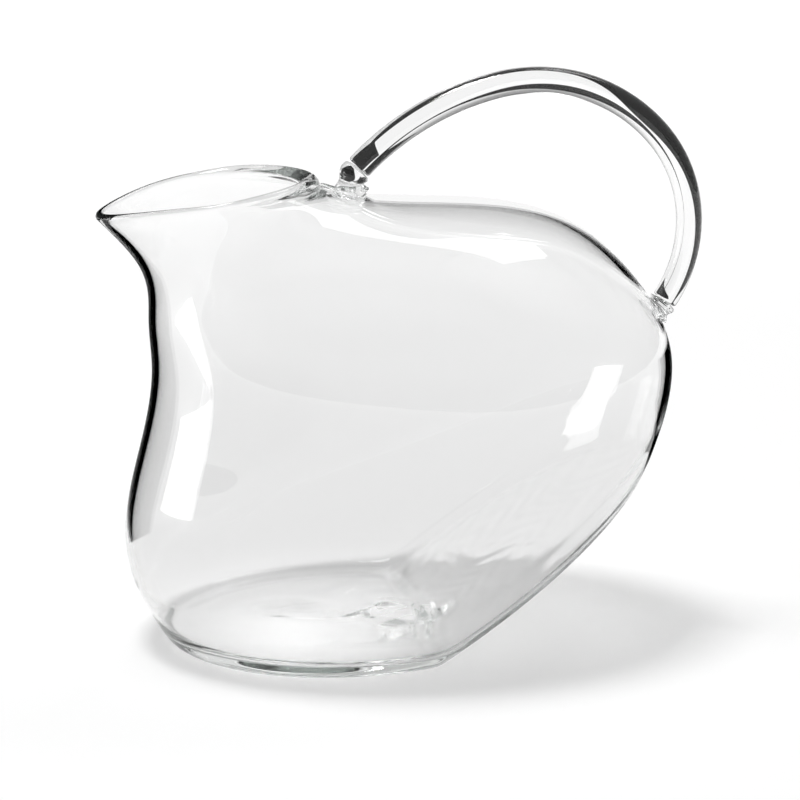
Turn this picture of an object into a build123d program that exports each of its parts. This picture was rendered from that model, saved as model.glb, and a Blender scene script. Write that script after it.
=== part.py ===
from build123d import *
from math import cos, pi, radians, sin
import os

os.makedirs("parts", exist_ok=True)

# Mouth-blown glass carafe with two standing facets and a drawn rod handle.
# Millimetres, +Z up. +X runs from the spout to the handle, and the XZ plane is the plane of symmetry.
# The origin lies in the middle of the standing facet, on the table.

# Blown form. Each section lies on a slanted plane through a point under the spout (x, z)
# and a point on the handle's side (x, z), and has a half width across the carafe.
above_mouth_front = (-68.9, 158.5)
above_mouth_back = (-7.5, 166.5)
above_mouth_half_width = 31.0
mouth_front = (-63.5, 151.1)
mouth_back = (8.4, 160.4)
mouth_half_width = 33.5
throat_front = (-50.0, 135.7)
throat_back = (23.8, 154.5)
throat_half_width = 34.5
neck_front = (-45.5, 114.0)
neck_back = (59.2, 151.2)
neck_half_width = 45.0
shoulder_front = (-44.8, 98.3)
shoulder_back = (96.8, 143.9)
shoulder_half_width = 57.0
flank_front = (-49.0, 70.5)
flank_back = (130.7, 109.8)
flank_half_width = 65.0
belly_front = (-55.0, 44.3)
belly_back = (135.4, 88.8)
belly_half_width = 67.0
underside_front = (-50.0, 15.0)
underside_back = (125.9, 56.5)
underside_half_width = 65.5
sole_front = (-28.2, -20.0)
sole_back = (105.2, 21.8)
sole_half_width = 48.0
below_sole_front = (-24.4, -26.7)
below_sole_back = (101.5, 15.2)
below_sole_half_width = 43.5

# The spout narrows the front of the mouth by this share, and the throat by a little.
# The sole is fuller at the front, so its share is below zero.
mouth_pinch = 0.45
throat_pinch = 0.10
sole_pinch = -0.06
outline_points = 16

# Standing facet on the table, and the slanted facet that the carafe leans back on.
ridge_x = 44.6
slanted_facet_angle = 35.4
facet_edge_radius = 6.0
kick_up_depth = 1.0
kick_up_radius = 24.0

# Glass
wall = 2.4
sole_thickness = 5.2
slanted_sole_thickness = 3.0
inner_edge_radius = 4.0
mouth_arch_height = 3.2
rim_rounding_share = 0.45

# Handle, a rod drawn along three tangent arcs through a crown point and a back point (x, z)
rod_radius = 4.5
handle_start_heading = 46.0
handle_crown = (73.3, 190.0)
handle_shoulder = (130.7, 171.0)

# Joints of the handle, each reaching from the blown form's surface to the rod's end
upper_joint_reach = (2.3, 9.0)
lower_joint_reach = (3.3, 3.2)
collar_radius = 5.0
waist_radius = 4.1
foot_radius = 6.2
foot_sink = 2.5

# Tongue of glass along the throat, from near the rim to the upper joint.
# Each of its three ellipses has a half width across the carafe and a half thickness.
tongue_start = 2.0
tongue_lift = 1.6
tongue_tip_size = (3.2, 1.3)
tongue_middle_size = (4.3, 2.9)
tongue_root_size = (3.9, 3.2)


def in_plane(point):
    """A point (x, z) of the plane of symmetry as a vector."""
    return Vector(point[0], 0, point[1])


def form_section(front, back, half_width, pinch):
    """Egg-shaped outline on the slanted plane through its front and back points."""
    length = (in_plane(back) - in_plane(front)).length
    along = (in_plane(back) - in_plane(front)).normalized()
    plane = Plane(
        origin=(in_plane(front) + in_plane(back)) / 2,
        x_dir=along,
        z_dir=along.cross(Vector(0, 1, 0)),
    )
    turns = [2 * pi * step / outline_points for step in range(outline_points)]
    with BuildSketch(plane) as outline:
        with BuildLine():
            Spline(
                [
                    (
                        -length / 2 * cos(turn),
                        half_width * sin(turn) * (1 - pinch * ((1 + cos(turn)) / 2) ** 2),
                    )
                    for turn in turns
                ],
                periodic=True,
            )
        make_face()
    return outline.sketch


form_sections = [
    form_section(above_mouth_front, above_mouth_back, above_mouth_half_width, mouth_pinch),
    form_section(mouth_front, mouth_back, mouth_half_width, mouth_pinch),
    form_section(throat_front, throat_back, throat_half_width, throat_pinch),
    form_section(neck_front, neck_back, neck_half_width, 0),
    form_section(shoulder_front, shoulder_back, shoulder_half_width, 0),
    form_section(flank_front, flank_back, flank_half_width, 0),
    form_section(belly_front, belly_back, belly_half_width, 0),
    form_section(underside_front, underside_back, underside_half_width, 0),
    form_section(sole_front, sole_back, sole_half_width, sole_pinch),
    form_section(below_sole_front, below_sole_back, below_sole_half_width, sole_pinch),
]


def facet_planes(standing_raise, slanted_raise):
    """The standing and the slanted facet's planes, each raised into the form by its own amount."""
    slope = radians(slanted_facet_angle)
    inward = Vector(-sin(slope), 0, cos(slope))
    uphill = Vector(cos(slope), 0, sin(slope))
    on_ridge = Vector(ridge_x, 0, 0) + inward * slanted_raise
    return Plane.XY.offset(standing_raise), Plane(origin=on_ridge, x_dir=uphill, z_dir=inward)


def facet_edges(form):
    """The edges round both facets and the ridge between them."""
    facets = form.faces().filter_by(GeomType.PLANE).sort_by(Axis.Z)[:2]
    return ShapeList(set(facets[0].edges() + facets[1].edges()))


# Outside of the blown form, flattened on its two facets
with BuildPart() as outside:
    loft(form_sections)
    for facet_plane in facet_planes(0, 0):
        split(bisect_by=facet_plane, keep=Keep.TOP)
    fillet(facet_edges(outside), radius=facet_edge_radius)

# Inside, one wall in from the same form, with thicker soles
with BuildPart() as inside:
    loft(form_sections)
    for facet_plane in facet_planes(sole_thickness - wall, slanted_sole_thickness - wall):
        split(bisect_by=facet_plane, keep=Keep.TOP)
    fillet(facet_edges(inside), radius=inner_edge_radius)
    offset(amount=-wall)

# Body: the outside less the inside, with the arched mouth cut open and its rim melted round
kick_up_sphere = (kick_up_radius**2 + kick_up_depth**2) / (2 * kick_up_depth)
mouth_chord = in_plane(mouth_back) - in_plane(mouth_front)
mouth_arch_radius = (mouth_chord.length**2 / 4 + mouth_arch_height**2) / (2 * mouth_arch_height)
mouth_side_view = Plane(
    origin=(in_plane(mouth_front) + in_plane(mouth_back)) / 2,
    x_dir=mouth_chord,
    z_dir=(0, -1, 0),
)
with BuildPart() as body:
    add(outside.part)
    add(inside.part, mode=Mode.SUBTRACT)
    with BuildSketch(mouth_side_view):
        Rectangle(2 * mouth_chord.length, mouth_chord.length)
        with Locations((0, mouth_arch_height - mouth_arch_radius)):
            Circle(mouth_arch_radius, mode=Mode.SUBTRACT)
    extrude(amount=2 * mouth_half_width, both=True, mode=Mode.SUBTRACT)
    rim = body.faces().filter_by(GeomType.CYLINDER).sort_by(SortBy.AREA)[-1]
    fillet(rim.edges(), radius=wall * rim_rounding_share)
    with Locations((0, 0, kick_up_depth - kick_up_sphere)):
        Sphere(kick_up_sphere, mode=Mode.SUBTRACT)
body.part.label = "body"
export_step(body.part, "parts/body.step")

# Handle rod, swept between the two joints
upper_seat = in_plane(throat_back)
lower_seat = in_plane(flank_back)
rod_start = upper_seat + in_plane(upper_joint_reach)
rod_end = lower_seat + in_plane(lower_joint_reach)
start_heading = Vector(
    cos(radians(handle_start_heading)), 0, sin(radians(handle_start_heading))
)
with BuildPart() as handle:
    with BuildLine():
        rise = TangentArc(rod_start, in_plane(handle_crown), tangent=start_heading)
        crown = TangentArc(rise @ 1, in_plane(handle_shoulder), tangent=rise % 1)
        drop = TangentArc(crown @ 1, rod_end, tangent=crown % 1)
    with BuildSketch(Plane(origin=rod_start, x_dir=(0, 1, 0), z_dir=rise % 0)):
        Circle(rod_radius)
    sweep()
handle.part.label = "handle"
export_step(handle.part, "parts/handle.step")


def joint_bit(seat, rod_point, towards_seat):
    """Five circles along a bent axis, for the collar, the waist and the flared foot below the rod."""
    with BuildLine(mode=Mode.PRIVATE):
        axis = TangentArc(rod_point, seat, tangent=towards_seat)
    inward = (axis % 1).normalized()
    stations = [
        (axis @ 0, axis % 0, rod_radius),
        (axis @ 0.3, axis % 0.3, collar_radius),
        (axis @ 0.55, axis % 0.55, waist_radius),
        (seat, inward, foot_radius),
        (seat + inward * foot_sink, inward, foot_radius),
    ]
    circles = []
    for origin, direction, radius in stations:
        with BuildSketch(Plane(origin=origin, x_dir=(0, 1, 0), z_dir=direction)) as circle:
            Circle(radius)
        circles.append(circle.sketch)
    return circles


# Upper joint, with the tongue of glass that runs along the throat from near the rim
down_the_throat = (upper_seat - in_plane(mouth_back)).normalized()
off_the_throat = down_the_throat.cross(Vector(0, 1, 0)) * -1
tongue_tip = in_plane(mouth_back) + down_the_throat * tongue_start
tongue_middle = (tongue_tip + upper_seat) / 2 + off_the_throat * tongue_lift
tongue_root = (rod_start + upper_seat) / 2
tongue_stations = [
    (tongue_tip, tongue_tip_size),
    (tongue_middle, tongue_middle_size),
    (tongue_root, tongue_root_size),
]
with BuildPart() as upper_joint:
    loft(joint_bit(upper_seat, rod_start, -1 * start_heading))
    tongue_ellipses = []
    for centre, size in tongue_stations:
        across = Plane(origin=centre, x_dir=(0, 1, 0), z_dir=down_the_throat)
        with BuildSketch(across, mode=Mode.PRIVATE) as ellipse:
            Ellipse(size[0], size[1])
        tongue_ellipses.append(ellipse.sketch)
    loft(tongue_ellipses)
    add(outside.part, mode=Mode.SUBTRACT)
upper_joint.part.label = "upper_joint"
export_step(upper_joint.part, "parts/upper_joint.step")

# Lower joint, on the widest turn of the back
with BuildPart() as lower_joint:
    loft(joint_bit(lower_seat, rod_end, drop % 1))
    add(outside.part, mode=Mode.SUBTRACT)
lower_joint.part.label = "lower_joint"
export_step(lower_joint.part, "parts/lower_joint.step")
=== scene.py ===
import math

import bpy
import numpy as np
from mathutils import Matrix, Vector


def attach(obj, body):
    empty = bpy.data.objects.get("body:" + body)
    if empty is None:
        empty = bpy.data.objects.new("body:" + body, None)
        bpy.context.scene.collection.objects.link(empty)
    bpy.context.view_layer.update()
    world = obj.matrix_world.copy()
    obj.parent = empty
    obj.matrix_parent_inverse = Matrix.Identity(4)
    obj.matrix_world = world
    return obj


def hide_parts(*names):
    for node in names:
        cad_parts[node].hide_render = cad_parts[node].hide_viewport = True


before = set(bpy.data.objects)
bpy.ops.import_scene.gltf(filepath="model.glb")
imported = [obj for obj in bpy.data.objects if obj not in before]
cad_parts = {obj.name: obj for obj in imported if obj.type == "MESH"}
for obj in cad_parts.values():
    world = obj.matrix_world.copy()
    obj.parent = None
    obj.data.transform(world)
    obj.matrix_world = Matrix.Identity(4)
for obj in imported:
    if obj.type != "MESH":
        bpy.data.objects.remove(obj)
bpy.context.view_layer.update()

# Mouth-blown glass carafe. Sizes are in millimetres and become metres when a mesh is made.
# +X runs from the spout to the handle, +Z is up, and the XZ plane is the plane of symmetry.
METRES = 0.001

# Slanted sections of the blown form, from above the mouth down to below the sole:
# front (x, z), back (x, z), half width across, and the share by which the front is pinched.
SECTIONS = np.array([
    (-68.9, 158.5, -7.5, 166.5, 31.0, 0.45),
    (-63.5, 151.1, 8.4, 160.4, 33.5, 0.45),
    (-50.0, 135.7, 23.8, 154.5, 34.5, 0.10),
    (-45.5, 114.0, 59.2, 151.2, 45.0, 0.0),
    (-44.8, 98.3, 96.8, 143.9, 57.0, 0.0),
    (-49.0, 70.5, 130.7, 109.8, 65.0, 0.0),
    (-55.0, 44.3, 135.4, 88.8, 67.0, 0.0),
    (-50.0, 15.0, 125.9, 56.5, 65.5, 0.0),
    (-28.2, -20.0, 105.2, 21.8, 48.0, -0.06),
    (-24.4, -26.7, 101.5, 15.2, 43.5, -0.06),
])
MOUTH, THROAT, FLANK = 1, 2, 5

# Facets: the standing one is level, and the slanted one rises behind the ridge
RIDGE_X = 44.6
FACET_ANGLE = math.radians(35.4)
KICK_UP_RADIUS = 24.0

# Glass, and the mouth's rim, which starts a little below the arch that cuts the mouth
WALL = 2.4
SOLE = 5.2
SLANTED_SOLE = 3.0
MOUTH_ARCH_HEIGHT = 3.2
RIM_DROP = 1.6
RIM_BEAD = 0.5
RIM_BEAD_REACH = 3.0

# The shell's two sides: how far the wall is moved in, how far each facet is raised, the ridge's radius,
# the kick-up's height, how far the corner round the facets spreads, and the rows on the facets
OUTSIDE = {"inward": 0.0, "standing": 0.0, "slanted": 0.0, "ridge": 7.0, "kick_up": 1.0, "corner": 2.4,
           "facet_rows": 26}
INSIDE = {"inward": WALL, "standing": SOLE, "slanted": SLANTED_SOLE, "ridge": 22.0, "kick_up": 0.6,
          "corner": 3.2, "facet_rows": 60}

# Chill marks inside: a lump, a swirl, and fine waves that start behind the ridge, with centres (x, y),
# reaches and wave lengths
LUMP = (40.0, -3.0)
LUMP_REACH = (12.0, 17.0)
LUMP_HEIGHT = 2.4
SWIRL = (34.0, -4.0)
SWIRL_REACH = (24.0, 28.0)
SWIRL_HEIGHT = 0.50
SWIRL_WAVE = 4.0
SWIRL_ARMS = 1.5
FINE_HEIGHT = 0.14
FINE_START = 3.0
FINE_WAVES = (1.25, 3.1)
FINE_WANDER = (0.9, 4.0)
FINE_SLANT = 9.0
MARKS_ABOVE_SOLE = 5.0
MARKS_HALF_WIDTH = 40.0

# Warp of the marks: size and wave length with the other coordinate, then size, wave length and phase with
# the same one
WARP_X = (3.0, 9.0, 1.6, 5.3, 1.0)
WARP_Y = (3.4, 8.0, 1.8, 5.9, 2.0)

# Handle
ROD_RADIUS = 4.48
ROD_START_HEADING = math.radians(46.0)
ROD_CROWN = (73.3, 190.0)
ROD_SHOULDER = (130.7, 171.0)
ROD_END_ROUND = 1.1

# Joints: reach (x, z) from the form's surface to the rod's end, and profiles that list the share of the way
# from there into the wall, the half thickness and the half width
UPPER_REACH = (2.3, 9.0)
LOWER_REACH = (3.3, 3.2)
UPPER_PROFILE = ((0.0, 4.2, 4.3), (0.12, 4.9, 5.0), (0.34, 4.95, 5.1), (0.5, 4.3, 4.5), (0.7, 5.6, 5.4),
                 (0.86, 6.2, 6.2), (1.0, 5.2, 6.2))
LOWER_PROFILE = ((0.0, 4.3, 4.4), (0.3, 4.9, 5.2), (0.55, 4.3, 4.5), (0.8, 5.8, 6.2), (1.0, 6.0, 6.6))
JOINT_SINK = 0.5
JOINT_END_ROUND = 0.9

# Tongue of glass on the throat: share of its length, half thickness, half width. It starts below the rim,
# and its middle line stands off the throat by a share of its half thickness.
TONGUE = ((0.0, 0.6, 1.5), (0.5, 1.0, 2.3), (1.0, 2.2, 3.4))
TONGUE_START = 5.0
TONGUE_STANDOFF = 0.55
TONGUE_END_ROUND = 3.0

# Mesh: columns round the body, rows searched for the rim and the foot, rows down the wall, the step and the
# rows on each side of the corner, coarser wall rows that the rounding also moves, and rows over the rim.
# Then come the counts for the rod, the joints and the tongue.
COLUMNS = 300
SEARCH_ROWS = 700
WALL_ROWS = 84
CORNER_STEP = 0.75
CORNER_ROWS = 14
EASED_WALL_ROWS = 4
RIM_ROWS = 11
TUBE_COLUMNS = 64
ROD_ARC_POINTS = (80, 90, 80)
ROD_ROWS = 220
ROD_END_ROWS = 9
JOINT_ARC_POINTS = 60
JOINT_SUNK_POINTS = 8
JOINT_ROWS = 90
TONGUE_ROWS = 70

# Clear glass
GLASS_IOR = 1.48
GLASS_TINT = (0.915, 0.925, 0.92, 1)
GLASS_DENSITY = 20.0

# Camera and studio, in metres and degrees, but the lens and the sensor in millimetres
CAMERA_PLACE = (-0.12893, -0.86973, 0.32943)
CAMERA_TARGET = (0.04033, 0.0, 0.08182)
CAMERA_LENS = 120.0
CAMERA_SENSOR = 36.0
STUDIO_MIDDLE = (0.04, 0.0, 0.08)

# Soft boxes: azimuth from the front, elevation, distance, width, height, radiance
SOFT_BOXES = {
    "key_light": (238, 79, 4.0, 1.1, 1.1, 33.0),
    "left_box": (264, 2, 0.8, 0.34, 0.40, 4.0),
    "top_box": (130, 57, 3.0, 1.3, 0.9, 3.0),
}

# Floor: its own light at distances from the middle, as seen plainly and as seen through glass. The reach
# is the distance at the far end of the two ramps.
FLOOR_RADIUS = 6.0
FLOOR_SIDES = 96
FLOOR_GAP = 0.0002
FLOOR_GREY = 0.5
FLOOR_REACH = 5.0
FLOOR_GLOW = ((0, 0.50), (0.5, 0.50), (1.0, 0.56), (1.5, 0.64), (4.0, 1.0))
# Seen through glass the floor is brighter right under the object, as painted light, and darker round it, as
# painted shade of the object.
FLOOR_BENT_GLOW_AND_PAINTED_SHADING = ((0, 0.58), (0.045, 0.46), (0.06, 0.28), (0.10, 0.24), (0.28, 0.30), (0.65, 0.49),
                   (1.5, 0.60), (4.0, 0.90))

# World: its level at elevations for rays that one wall has bent, and for the other kinds of ray
WORLD_LEVELS = ((0, 1.0), (10.0, 1.0), (28.0, 0.35), (60.0, 0.2))
WORLD_HOLLOW = 0.86
WORLD_DIFFUSE = 0.15
WORLD_REFLECTED = 0.12

# Cards, in millimetres: depth behind the plane of symmetry, and outline (x, z)
BRIGHT_CARD = 0.95
WALL_CARDS = {
    "left_card": (100, ((-260, 0), (-100, 0), (-48, 30), (-28, 60), (-28, 115), (-260, 115))),
    "right_card": (100, ((190, 0), (360, 0), (360, 80), (155, 80), (155, 30))),
}
EDGE_CARDS = {
    "upper_joint_card": (11, ((26, 157), (34, 157), (38, 166), (33, 168), (27, 162))),
    "rim_card": (80, ((-100, 160), (30, 172), (30, 215), (-100, 205))),
    "lower_joint_card": (12, ((136, 101), (150, 101), (150, 112), (136, 112))),
}

# Cards that follow the handle, in millimetres. Each lies behind it as the camera sees it, so it is shifted
# to the right and down. The lists give the share of the rod's length, and the card's setback into the loop
# or its span outside it.
LOOP_FLAG_DEPTH = 18.0
LOOP_FLAG_SHIFT = (3.5, -5.0)
LOOP_FLAG = ((0.0, 4.5), (0.2, 5.0), (0.4, 7.0), (0.5, 4.0), (0.6, -3.5), (0.72, -2.0), (0.86, 2.5),
             (1.0, 5.0))
LOOP_FLAG_FOOT = (4.0, 6.0)
OUTER_FLAG_DEPTH = 50.0
OUTER_FLAG_SHIFT = (9.7, -14.3)
OUTER_FLAG = ((0.0, 18.5, 24.0), (0.3, 17.5, 25.0), (0.52, 14.0, 34.0), (0.68, 18.0, 25.0), (1.0, 20.0, 23.0))

# White card behind the line from the upper to the lower joint, between two shifts of it
BACK_CARD_DEPTH = 85.0
BACK_CARD_SPAN = ((14.0, -24.0), (14.0, 30.0))

# Light paths: a wall or a rod has two surfaces to cross, light is mirrored many times inside the glass, and
# some rays pass many cards
ONE_WALL_CROSSINGS = 2
GLASS_BOUNCES = 64
CARD_CROSSINGS = 16


def spline_bends(knots, values):
    """Second derivatives of the natural cubic spline: its slope is continuous at each inner knot."""
    count = len(knots)
    gaps = np.diff(knots)
    system = np.eye(count)
    right = np.zeros_like(values)
    inner = np.arange(1, count - 1)
    system[inner, inner - 1] = gaps[:-1] / 6
    system[inner, inner] = (gaps[:-1] + gaps[1:]) / 3
    system[inner, inner + 1] = gaps[1:] / 6
    rates = np.diff(values, axis=0) / gaps[:, None]
    right[inner] = rates[1:] - rates[:-1]
    return np.linalg.solve(system, right)


def spline_at(knots, values, places):
    """Rows of values at places along the knots, by the cubic between the two nearest knots."""
    bends = spline_bends(knots, values)
    span = np.clip(np.searchsorted(knots, places, side="right") - 1, 0, len(knots) - 2)
    gap = knots[span + 1] - knots[span]
    before = ((knots[span + 1] - places) / gap)[..., None]
    after = 1 - before
    curve = (before**3 - before) * bends[span] + (after**3 - after) * bends[span + 1]
    return before * values[span] + after * values[span + 1] + curve * (gap**2)[..., None] / 6


def listed_at(listed, places):
    """Columns of a list at places along its first column, by the spline through its rows."""
    listed = np.array(listed)
    return spline_at(listed[:, 0], listed[:, 1:], places).T


def run_along(path):
    """Distance along a path at each of its points."""
    return np.concatenate([[0.0], np.cumsum(np.linalg.norm(np.diff(path, axis=0), axis=1))])


# Distance down the form at each section: the mean of the distances along its front and along its back
KNOTS = (run_along(SECTIONS[:, 0:2]) + run_along(SECTIONS[:, 2:4])) / 2


def form(turn, down):
    """Egg-shaped outline: x and z run from front to back with the cosine of the turn, y with its sine."""
    turn, down = np.broadcast_arrays(turn, down)
    values = spline_at(KNOTS, SECTIONS, down)
    share = (1 + np.cos(turn)) / 2
    x = share * values[..., 0] + (1 - share) * values[..., 2]
    z = share * values[..., 1] + (1 - share) * values[..., 3]
    y = values[..., 4] * np.sin(turn) * (1 - values[..., 5] * share**2)
    return np.stack([x, y, z], axis=-1)


def form_normal(turn, down):
    """Outward unit normal: the cross product of the form's steps round and down."""
    small = 1e-3
    around = form(turn + small, down) - form(turn - small, down)
    below = form(turn, down + small) - form(turn, down - small)
    normal = np.cross(around, below)
    return normal / np.linalg.norm(normal, axis=-1, keepdims=True)


def back_line(down):
    """The form's back line (x, z), which lies half a turn from the front, and its outward normal."""
    half_turn = np.full(len(down), np.pi)
    return form(half_turn, down)[:, [0, 2]], form_normal(half_turn, down)[:, [0, 2]]


def wall_at(turn, down, rim_down, inward):
    """The form moved in along its normal, and further near the rim by a bell curve, which is the bead."""
    bead = RIM_BEAD / WALL * np.exp(-((down - rim_down) / RIM_BEAD_REACH) ** 2)
    return form(turn, down) - form_normal(turn, down) * (inward * (1 + bead))[..., None]


def facet_height(x, y, standing, slanted, ridge, kick_up):
    """Height of the two raised facets at places in plan, and the x at which their planes meet.

    It is level, then rises at the slope, and an arc that touches both planes joins them. The kick-up adds
    its height times the square of one less the squared distance from the middle over its radius.
    """
    slope = math.tan(FACET_ANGLE)
    lift = slanted / math.cos(FACET_ANGLE)
    meeting = RIDGE_X + (standing - lift) / slope
    touch = ridge * math.tan(FACET_ANGLE / 2)
    rise = (x - RIDGE_X) * slope + lift
    along = np.clip(x - meeting + touch, 0, None)
    arc = standing + ridge - np.sqrt(np.clip(ridge**2 - along**2, 0, None))
    height = np.where(x < meeting - touch, standing, np.maximum(rise, standing))
    on_arc = (x >= meeting - touch) & (x <= meeting + touch * math.cos(FACET_ANGLE))
    height = np.where(on_arc, arc, height)
    from_middle = np.clip((x**2 + y**2) / KICK_UP_RADIUS**2, 0, 1)
    return height + kick_up * (1 - from_middle) ** 2, meeting


def inside_arch(points):
    """How far points lie inside the circle that cuts the mouth, lowered to the rim, seen from the side."""
    front, back = SECTIONS[MOUTH, 0:2], SECTIONS[MOUTH, 2:4]
    chord = back - front
    half = np.linalg.norm(chord) / 2
    radius = (half**2 + MOUTH_ARCH_HEIGHT**2) / (2 * MOUTH_ARCH_HEIGHT)
    up = np.array([-chord[1], chord[0]]) / (2 * half)
    centre = (front + back) / 2 + up * (MOUTH_ARCH_HEIGHT - radius)
    return radius - RIM_DROP - np.linalg.norm(points[..., [0, 2]] - centre, axis=-1)


def first_crossing(measure, down):
    """Distance down at which a measure along each column first turns positive, by linear steps."""
    index = np.clip(np.argmax(measure > 0, axis=0), 1, len(down) - 1)
    column = np.arange(measure.shape[1])
    high, low = measure[index, column], measure[index - 1, column]
    return down[index - 1] + (down[index] - down[index - 1]) * (-low / (high - low))


def shell_side(turns, inward, standing, slanted, ridge, kick_up, corner, facet_rows):
    """One side of the shell as rows of points, from the rim down the wall and over the facets to a pole.

    Below the line where the wall meets the facets the rows run straight towards the pole in plan, at the
    facets' height. Averaging each row with its two neighbours, again and again, rounds the corner.
    """
    down = np.linspace(0, KNOTS[-1], SEARCH_ROWS)
    turn_grid, down_grid = np.meshgrid(turns, down)
    rim_down = first_crossing(inside_arch(form(turn_grid, down_grid)), down)
    wall = wall_at(turn_grid, down_grid, rim_down, inward)
    top = first_crossing(inside_arch(wall), down)
    height, pole_x = facet_height(wall[..., 0], wall[..., 1], standing, slanted, ridge, kick_up)
    foot = first_crossing(height - wall[..., 2], down)

    small = 0.05
    step = wall_at(turns, foot + small, rim_down, inward) - wall_at(turns, foot - small, rim_down, inward)
    speed = np.linalg.norm(step, axis=-1) / (2 * small)
    near_corner = foot - np.arange(CORNER_ROWS, -1, -1)[:, None] * CORNER_STEP / speed
    share = np.linspace(0, 1, WALL_ROWS, endpoint=False)[:, None]
    depths = np.concatenate([top + (near_corner[0] - top) * share, near_corner])
    wall_points = wall_at(np.broadcast_to(turns, depths.shape), depths, rim_down, inward)

    foot_plan = wall_points[-1, :, :2]
    to_pole = np.array([pole_x, 0.0]) - foot_plan
    near_share = np.arange(1, CORNER_ROWS + 1)[:, None] * CORNER_STEP / np.linalg.norm(to_pole, axis=-1)
    share = np.linspace(0, 1, facet_rows + 1)[1:, None]
    shares = np.concatenate([near_share, near_share[-1] + (1 - near_share[-1]) * share])
    plan = foot_plan + to_pole * shares[..., None]
    height, _ = facet_height(plan[..., 0], plan[..., 1], standing, slanted, ridge, kick_up)
    facet_points = np.concatenate([plan, height[..., None]], axis=-1)

    rows = np.concatenate([wall_points, facet_points])
    first, last = WALL_ROWS - EASED_WALL_ROWS, len(wall_points) + CORNER_ROWS
    for _ in range(round(2 * (corner / CORNER_STEP) ** 2)):
        rows[first:last] = (rows[first - 1:last - 1] + 2 * rows[first:last] + rows[first + 1:last + 1]) / 4
    return rows


def warped(place, other, warp):
    """Coordinate plus a sine of the other coordinate and a sine of itself."""
    across, across_wave, along, along_wave, phase = warp
    return place + across * np.sin(other / across_wave) + along * np.sin(place / along_wave + phase)


def bell(x, y, centre, reach):
    """Bell curve in two directions: e to minus the sum of the squared distances over their reaches."""
    return np.exp(-((x - centre[0]) / reach[0]) ** 2 - ((y - centre[1]) / reach[1]) ** 2)


def chill_marks(points):
    """Height of the marks inside the soles: a lump on the ridge, a swirl beside it, and waves up the slant.

    The swirl is a sine of the distance from its centre plus a multiple of the angle, with one crease where
    the angle starts again. The waves are a product of two sines. All fade out above the soles and
    towards the sides.
    """
    x, y, z = points[..., 0], points[..., 1], points[..., 2]
    rise = np.clip((x - RIDGE_X) * math.tan(FACET_ANGLE), 0, None)
    low = np.clip(1 - (z - rise - SOLE) / MARKS_ABOVE_SOLE, 0, 1)
    fade = low * np.exp(-(y / MARKS_HALF_WIDTH) ** 4)
    warp_x, warp_y = warped(x, y, WARP_X), warped(y, x, WARP_Y)
    lump = bell(warp_x, y, LUMP, LUMP_REACH)
    from_centre = np.hypot(warp_x - SWIRL[0], warp_y - SWIRL[1])
    angle = np.arctan2(warp_y, warp_x - SWIRL[0])
    swirl = np.sin(from_centre / SWIRL_WAVE + SWIRL_ARMS * angle) * bell(x, y, SWIRL, SWIRL_REACH)
    wander = FINE_WANDER[0] * np.sin(warp_y / FINE_WANDER[1])
    fine = np.sin(warp_x / FINE_WAVES[0] + wander) * np.sin(warp_y / FINE_WAVES[1] + warp_x / FINE_SLANT)
    on_slant = 1 / (1 + np.exp(1 - (x - RIDGE_X) / FINE_START))
    return fade * (LUMP_HEIGHT * lump + SWIRL_HEIGHT * swirl + FINE_HEIGHT * fine * on_slant)


def round_rim(outer, inner):
    """Half circle over the rim: its chord joins the tops of the two sides, and it rises along the wall."""
    middle = (outer[0] + inner[0]) / 2
    chord = (outer[0] - inner[0]) / 2
    radius = np.linalg.norm(chord, axis=-1, keepdims=True)
    up = (outer[0] + inner[0]) - (outer[2] + inner[2])
    up -= chord * np.sum(up * chord, axis=-1, keepdims=True) / radius**2
    up /= np.linalg.norm(up, axis=-1, keepdims=True)
    angles = np.linspace(0, np.pi, RIM_ROWS + 2)[1:-1, None, None]
    return middle + chord * np.cos(angles) + up * radius * np.sin(angles)


def closed_mesh(name, rows):
    """Closed piece from rows of points round a loop, with the first and the last row shrunk to a pole.

    A volume below nought, as the sum of the corners' triple products, shows that its faces point inwards.
    """
    count = rows.shape[1]
    inner = rows[1:-1]
    points = np.concatenate([rows[:1].mean(axis=1), inner.reshape(-1, 3), rows[-1:].mean(axis=1)])
    index = 1 + np.arange(len(inner) * count).reshape(len(inner), count)
    ahead = np.roll(index, -1, axis=1)
    quads = np.stack([index[:-1], ahead[:-1], ahead[1:], index[1:]], axis=-1).reshape(-1, 4)
    start = np.stack([np.zeros(count, int), ahead[0], index[0]], axis=-1)
    end = np.stack([np.full(count, len(points) - 1), index[-1], ahead[-1]], axis=-1)
    corners = points[quads]
    volume = np.sum(corners[:, 0] * np.cross(corners[:, 1], corners[:, 2]))
    volume += np.sum(corners[:, 0] * np.cross(corners[:, 2], corners[:, 3]))
    faces = [*quads.tolist(), *start.tolist(), *end.tolist()]
    mesh = bpy.data.meshes.new(name)
    mesh.from_pydata((points * METRES).tolist(), [], faces)
    if volume < 0:
        mesh.flip_normals()
    mesh.polygons.foreach_set("use_smooth", np.ones(len(mesh.polygons), bool))
    mesh.validate()
    piece = bpy.data.objects.new(name, mesh)
    bpy.context.scene.collection.objects.link(piece)
    return piece


def make_body():
    """Blown vessel: an outer and an inner side from the same sections, joined over a melted rim."""
    turns = np.linspace(0, 2 * np.pi, COLUMNS, endpoint=False)
    outer = shell_side(turns, **OUTSIDE)
    inner = shell_side(turns, **INSIDE)
    inner[..., 2] += chill_marks(inner)
    return closed_mesh("blown_body", np.concatenate([outer[::-1], round_rim(outer, inner), inner]))


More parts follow.
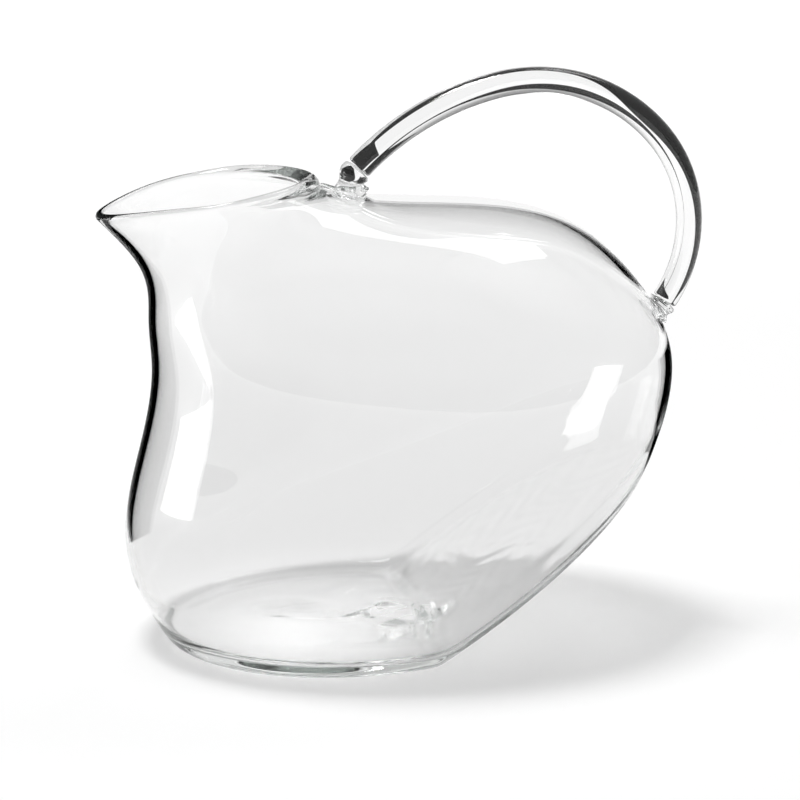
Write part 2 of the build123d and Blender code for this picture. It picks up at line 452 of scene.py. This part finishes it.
def tangent_arc(start, heading, end, count):
    """Points of the arc that leaves start along heading and ends at end, and its last heading.

    The chord turns from the heading by half of what the arc turns.
    """
    chord = end - start
    base = math.atan2(heading[1], heading[0])
    turn = 2 * (math.atan2(chord[1], chord[0]) - base)
    radius = np.linalg.norm(chord) / (2 * math.sin(turn / 2))
    angles = base + turn * np.linspace(0, 1, count)
    x = start[0] + radius * (np.sin(angles) - math.sin(base))
    z = start[1] - radius * (np.cos(angles) - math.cos(base))
    last = base + turn
    return np.stack([x, z], axis=-1), np.array([math.cos(last), math.sin(last)])


def rod_path():
    """Three tangent arcs: up from the upper joint, over the crown, and down to the lower joint."""
    start = SECTIONS[THROAT, 2:4] + UPPER_REACH
    end = SECTIONS[FLANK, 2:4] + LOWER_REACH
    heading = np.array([math.cos(ROD_START_HEADING), math.sin(ROD_START_HEADING)])
    rise, heading = tangent_arc(start, heading, np.array(ROD_CROWN), ROD_ARC_POINTS[0])
    crown, heading = tangent_arc(rise[-1], heading, np.array(ROD_SHOULDER), ROD_ARC_POINTS[1])
    drop, heading = tangent_arc(crown[-1], heading, end, ROD_ARC_POINTS[2])
    return np.concatenate([rise, crown[1:], drop[1:]])


def path_at(path, stations):
    """Points (x, z) at distances along a path."""
    run = run_along(path)
    return np.stack([np.interp(stations, run, path[:, 0]), np.interp(stations, run, path[:, 1])], axis=-1)


def path_sides(path):
    """Unit vectors square to a path, on its right as it runs: into the loop, along the handle."""
    ahead = np.gradient(path, axis=0)
    ahead /= np.linalg.norm(ahead, axis=1, keepdims=True)
    return np.stack([ahead[:, 1], -ahead[:, 0]], axis=-1)


def rounded_ends(run, end_round):
    """Share of the full radius at each distance along a path, as a quarter circle at both ends."""
    share = np.clip(np.minimum(run, run[-1] - run) / end_round, 0, 1)
    return np.sqrt(1 - (1 - share) ** 2)


def swept_ellipses(name, path, half_across, half_thick):
    """Closed tube of ellipses square to a path in the plane of symmetry. Its ends close to a point."""
    side = path_sides(path)
    turns = np.linspace(0, 2 * np.pi, TUBE_COLUMNS, endpoint=False)
    thick = half_thick[:, None] * np.cos(turns)
    x = path[:, :1] + side[:, :1] * thick
    z = path[:, 1:] + side[:, 1:] * thick
    y = half_across[:, None] * np.sin(turns)
    return closed_mesh(name, np.stack([x, y, z], axis=-1))


def make_rod(path):
    """Handle rod: a circle swept along the three arcs, with fire-rounded edges at its two ends."""
    length = run_along(path)[-1]
    near_end = ROD_END_ROUND * (1 - np.cos(np.linspace(0, np.pi / 2, ROD_END_ROWS)))
    between = np.linspace(ROD_END_ROUND, length - ROD_END_ROUND, ROD_ROWS)[1:-1]
    stations = np.concatenate([near_end, between, length - near_end[::-1]])
    radius = ROD_RADIUS - ROD_END_ROUND * (1 - rounded_ends(stations, ROD_END_ROUND))
    return swept_ellipses("handle_rod", path_at(path, stations), radius, radius)


def make_joint_bit(name, rod_end, heading, seat, profile):
    """Bit of glass below the rod: ellipses along an arc from the rod's end, which goes on into the wall.

    Their half sizes follow the spline through the profile.
    """
    arc, last = tangent_arc(rod_end, heading, seat, JOINT_ARC_POINTS)
    sunk = seat + last * JOINT_SINK * np.linspace(0, 1, JOINT_SUNK_POINTS)[1:, None]
    arc = np.concatenate([arc, sunk])
    shares = np.linspace(0, 1, JOINT_ROWS)
    stations = shares * run_along(arc)[-1]
    thick, across = listed_at(profile, shares)
    ends = rounded_ends(stations, JOINT_END_ROUND)
    return swept_ellipses(name, path_at(arc, stations), across * ends, thick * ends)


def make_tongue():
    """Tongue of glass that lies along the throat's back, from near the rim to the upper joint."""
    shares = np.linspace(0, 1, TONGUE_ROWS)
    on_throat, off_throat = back_line(KNOTS[MOUTH] + TONGUE_START + (KNOTS[THROAT] - KNOTS[MOUTH]) * shares)
    thick, across = listed_at(TONGUE, shares)
    path = on_throat + off_throat * (thick * TONGUE_STANDOFF)[:, None]
    ends = rounded_ends(run_along(path), TONGUE_END_ROUND)
    return swept_ellipses("throat_tongue", path, across * ends, thick * ends)


def clear_glass():
    """Clear glass: a smooth refracting surface with a faint grey-green absorption inside."""
    material = bpy.data.materials.new("clear_glass")
    material.use_nodes = True
    nodes, links = material.node_tree.nodes, material.node_tree.links
    shader = nodes["Principled BSDF"]
    shader.inputs["Base Color"].default_value = (1, 1, 1, 1)
    shader.inputs["Roughness"].default_value = 0.0
    shader.inputs["IOR"].default_value = GLASS_IOR
    shader.inputs["Transmission Weight"].default_value = 1.0
    inside = nodes.new("ShaderNodeVolumeAbsorption")
    inside.inputs["Color"].default_value = GLASS_TINT
    inside.inputs["Density"].default_value = GLASS_DENSITY
    links.new(inside.outputs["Volume"], nodes["Material Output"].inputs["Volume"])
    return material


def feed(tree, socket, value):
    """Sets a socket to a number, or links it to an output."""
    if isinstance(value, (int, float)):
        socket.default_value = value
    else:
        tree.links.new(value, socket)


def math_node(tree, operation, first, second):
    """Output of a Math node on two inputs, each a number or an output."""
    node = tree.nodes.new("ShaderNodeMath")
    node.operation = operation
    feed(tree, node.inputs[0], first)
    feed(tree, node.inputs[1], second)
    return node.outputs[0]


def mix_node(tree, factor, first, second):
    """Output of a Mix node: the first value where the factor is nought, the second where it is one."""
    node = tree.nodes.new("ShaderNodeMix")
    feed(tree, node.inputs["Factor"], factor)
    feed(tree, node.inputs["A"], first)
    feed(tree, node.inputs["B"], second)
    return node.outputs["Result"]


def ray(tree, kind):
    """Light Path's output of that name: what kind of ray it is, or how many turns it has made."""
    return tree.nodes.new("ShaderNodeLightPath").outputs[kind]


def one_wall(tree):
    """One for rays that met no more than one wall or rod, and nought for those that crossed the hollow."""
    return math_node(tree, "LESS_THAN", ray(tree, "Transmission Depth"), ONE_WALL_CROSSINGS + 0.5)


def ramp(tree, value, levels):
    """Colour ramp over pairs of a place from nought to one and a grey level."""
    node = tree.nodes.new("ShaderNodeValToRGB")
    tree.links.new(value, node.inputs["Fac"])
    stops = node.color_ramp.elements
    for index, (place, level) in enumerate(levels):
        stop = stops[index] if index < 2 else stops.new(1.0)
        stop.position = place
        stop.color = (level, level, level, 1)
    return node.outputs["Color"]


def empty_material(name):
    """Material with an output node alone, its node tree, and the socket for its surface."""
    material = bpy.data.materials.new(name)
    material.use_nodes = True
    tree = material.node_tree
    tree.nodes.clear()
    return material, tree, tree.nodes.new("ShaderNodeOutputMaterial").inputs["Surface"]


def floor_material():
    """White floor: about half of its light is its own, so that it reads white, and the rest takes the shadow.

    Rays bent by the glass find painted light right under the object and painted shade round it.
    """
    material, tree, surface = empty_material("floor_white")
    diffuse = tree.nodes.new("ShaderNodeBsdfDiffuse")
    diffuse.inputs["Color"].default_value = (FLOOR_GREY, FLOOR_GREY, FLOOR_GREY, 1)
    glow = tree.nodes.new("ShaderNodeEmission")
    place = tree.nodes.new("ShaderNodeNewGeometry")
    away = tree.nodes.new("ShaderNodeVectorMath")
    away.operation = "LENGTH"
    tree.links.new(place.outputs["Position"], away.inputs[0])
    distance = math_node(tree, "MULTIPLY", away.outputs["Value"], 1 / FLOOR_REACH)
    plain_levels, bent_painted_shading_levels = [[(place / FLOOR_REACH, level) for place, level in levels]
                                 for levels in (FLOOR_GLOW, FLOOR_BENT_GLOW_AND_PAINTED_SHADING)]
    bent = ray(tree, "Is Transmission Ray")
    mirrored = math_node(tree, "SUBTRACT", ray(tree, "Is Glossy Ray"), bent)
    plain = math_node(tree, "MAXIMUM", ray(tree, "Is Camera Ray"), mirrored)
    # Painted light under the object and painted shade round it, for rays that the glass has bent.
    bent_glow_and_painted_shading = math_node(tree, "MULTIPLY", bent, ramp(tree, distance, bent_painted_shading_levels))
    plain_glow = math_node(tree, "MULTIPLY", plain, ramp(tree, distance, plain_levels))
    feed(tree, glow.inputs["Strength"], math_node(tree, "MAXIMUM", plain_glow, bent_glow_and_painted_shading))
    both = tree.nodes.new("ShaderNodeAddShader")
    tree.links.new(diffuse.outputs[0], both.inputs[0])
    tree.links.new(glow.outputs[0], both.inputs[1])
    tree.links.new(both.outputs[0], surface)
    return material


def make_floor():
    """Round floor at the height of the standing facet."""
    turns = np.linspace(0, 2 * np.pi, FLOOR_SIDES, endpoint=False)
    level = np.full(FLOOR_SIDES, -FLOOR_GAP)
    rim = np.stack([FLOOR_RADIUS * np.cos(turns), FLOOR_RADIUS * np.sin(turns), level], axis=-1)
    mesh = bpy.data.meshes.new("floor")
    mesh.from_pydata(rim.tolist(), [], [list(range(FLOOR_SIDES))])
    mesh.materials.append(floor_material())
    floor = bpy.data.objects.new("floor", mesh)
    bpy.context.scene.collection.objects.link(floor)


def card_material(name, level, mirrored_only):
    """Card that shows its own even level, and that rays pass through once they have crossed the hollow.

    Rays that no surface has mirrored can pass through it too, so that it shows at a wall's edge only.
    """
    material, tree, surface = empty_material(name)
    clear = tree.nodes.new("ShaderNodeBsdfTransparent")
    even = tree.nodes.new("ShaderNodeEmission")
    even.inputs["Strength"].default_value = level
    mix = tree.nodes.new("ShaderNodeMixShader")
    shows = one_wall(tree)
    if mirrored_only:
        mirrored = math_node(tree, "GREATER_THAN", ray(tree, "Glossy Depth"), 0.5)
        shows = math_node(tree, "MULTIPLY", shows, mirrored)
    tree.links.new(shows, mix.inputs["Fac"])
    tree.links.new(clear.outputs[0], mix.inputs[1])
    tree.links.new(even.outputs[0], mix.inputs[2])
    tree.links.new(mix.outputs[0], surface)
    return material


def make_card(name, depth, corners, faces, material):
    """Upright card with corners (x, z) at a depth behind the plane of symmetry.

    The camera, the shadows and diffuse light don't meet it.
    """
    corners = np.array(corners, float)
    points = np.stack([corners[:, 0], np.full(len(corners), depth), corners[:, 1]], axis=-1) * METRES
    mesh = bpy.data.meshes.new(name)
    mesh.from_pydata(points.tolist(), [], faces)
    mesh.materials.append(material)
    card = bpy.data.objects.new(name, mesh)
    bpy.context.scene.collection.objects.link(card)
    card.visible_camera = False
    card.visible_diffuse = False
    card.visible_shadow = False


def card_between(name, depth, first, second, material):
    """Upright card between two curves (x, z) with the same count of points."""
    index = np.arange(len(first) - 1)
    other = index + len(first)
    faces = np.stack([index, index + 1, other + 1, other], axis=-1)
    make_card(name, depth, np.concatenate([first, second]), faces.tolist(), material)


def make_handle_cards(path, black, bright):
    """Cards behind the handle that draw its dark lines, and a white one behind the body's back.

    A rod shows what lies behind it turned over. The card in the loop darkens its outer edge and follows it at
    a setback, which is smallest past the crown. The card outside the loop draws a line near the inner edge.
    """
    share = np.linspace(0, 1, len(path))
    into_loop = path_sides(path)
    setback = listed_at(LOOP_FLAG, share)[0]
    top = path + into_loop * setback[:, None] + LOOP_FLAG_SHIFT
    back, _ = back_line(np.linspace(KNOTS[THROAT], KNOTS[FLANK], len(path)))
    card_between("loop_flag", LOOP_FLAG_DEPTH, top, back + LOOP_FLAG_FOOT, black)
    low, high = [back + shift for shift in BACK_CARD_SPAN]
    card_between("back_card", BACK_CARD_DEPTH, low, high, bright)
    near, far = [path + OUTER_FLAG_SHIFT - into_loop * span[:, None] for span in listed_at(OUTER_FLAG, share)]
    card_between("outer_flag", OUTER_FLAG_DEPTH, near, far, black)


def make_cards(path):
    """Black cards beside and behind the glass that draw its dark edges, and a bright one."""
    black = card_material("black_card", 0.0, False)
    wall_black = card_material("wall_card", 0.0, True)
    bright = card_material("bright_card", BRIGHT_CARD, False)
    for cards, material in ((WALL_CARDS, wall_black), (EDGE_CARDS, black)):
        for name, (depth, outline) in cards.items():
            make_card(name, depth, outline, [tuple(range(len(outline)))], material)
    make_handle_cards(path, black, bright)


def make_world():
    """White to the camera. Rays bent at one wall find it bright near the horizon and darker higher up."""
    world = bpy.data.worlds.new("studio")
    bpy.context.scene.world = world
    world.use_nodes = True
    tree = world.node_tree
    background = tree.nodes["Background"]
    background.inputs["Color"].default_value = (1, 1, 1, 1)
    direction = tree.nodes.new("ShaderNodeTexCoord")
    parts = tree.nodes.new("ShaderNodeSeparateXYZ")
    tree.links.new(direction.outputs["Generated"], parts.inputs[0])
    levels = [(math.sin(math.radians(elevation)), level) for elevation, level in WORLD_LEVELS]
    band = ramp(tree, parts.outputs["Z"], levels)
    bent_once = math_node(tree, "MULTIPLY", one_wall(tree), ray(tree, "Is Transmission Ray"))
    strength = mix_node(tree, bent_once, WORLD_HOLLOW, band)
    strength = mix_node(tree, ray(tree, "Is Diffuse Ray"), strength, WORLD_DIFFUSE)
    strength = mix_node(tree, ray(tree, "Is Reflection Ray"), strength, WORLD_REFLECTED)
    strength = mix_node(tree, ray(tree, "Is Camera Ray"), strength, 1.0)
    tree.links.new(strength, background.inputs["Strength"])


def make_soft_box(name, azimuth, elevation, distance, width, height, radiance):
    """Soft box that faces the studio's middle, at an azimuth from the front and an elevation in degrees."""
    side, rise = math.radians(azimuth), math.radians(elevation)
    way = Vector((math.sin(side) * math.cos(rise), -math.cos(side) * math.cos(rise), math.sin(rise)))
    light = bpy.data.lights.new(name, "AREA")
    light.shape = "RECTANGLE"
    light.size = width
    light.size_y = height
    light.energy = radiance * math.pi * width * height
    lamp = bpy.data.objects.new(name, light)
    lamp.location = Vector(STUDIO_MIDDLE) + way * distance
    lamp.rotation_euler = (-way).to_track_quat("-Z", "Y").to_euler()
    lamp.visible_camera = False
    bpy.context.scene.collection.objects.link(lamp)


def make_camera():
    """Long lens from the front left, a little above the mouth's height, as in the photograph."""
    camera = bpy.data.cameras.new("camera")
    camera.lens = CAMERA_LENS
    camera.sensor_width = CAMERA_SENSOR
    holder = bpy.data.objects.new("camera", camera)
    holder.location = Vector(CAMERA_PLACE)
    view = Vector(CAMERA_TARGET) - Vector(CAMERA_PLACE)
    holder.rotation_euler = view.to_track_quat("-Z", "Y").to_euler()
    bpy.context.scene.collection.objects.link(holder)
    bpy.context.scene.camera = holder


make_camera()
glass = clear_glass()
path = rod_path()
body = make_body()
rod = make_rod(path)
upper = make_joint_bit("upper_collar", path[0], path[0] - path[1], SECTIONS[THROAT, 2:4], UPPER_PROFILE)
lower = make_joint_bit("lower_collar", path[-1], path[-1] - path[-2], SECTIONS[FLANK, 2:4], LOWER_PROFILE)
tongue = make_tongue()
for piece, node in ((body, "body"), (rod, "handle"), (upper, "upper_joint"), (tongue, "upper_joint"),
                    (lower, "lower_joint")):
    piece.data.materials.append(glass)
    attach(piece, "root")
    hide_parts(node)
make_floor()
make_world()
make_cards(path)
for name, settings in SOFT_BOXES.items():
    make_soft_box(name, *settings)
scene = bpy.context.scene
scene.view_settings.view_transform = "Standard"
scene.cycles.max_bounces = GLASS_BOUNCES
scene.cycles.transmission_bounces = GLASS_BOUNCES
scene.cycles.glossy_bounces = GLASS_BOUNCES
scene.cycles.transparent_max_bounces = CARD_CROSSINGS
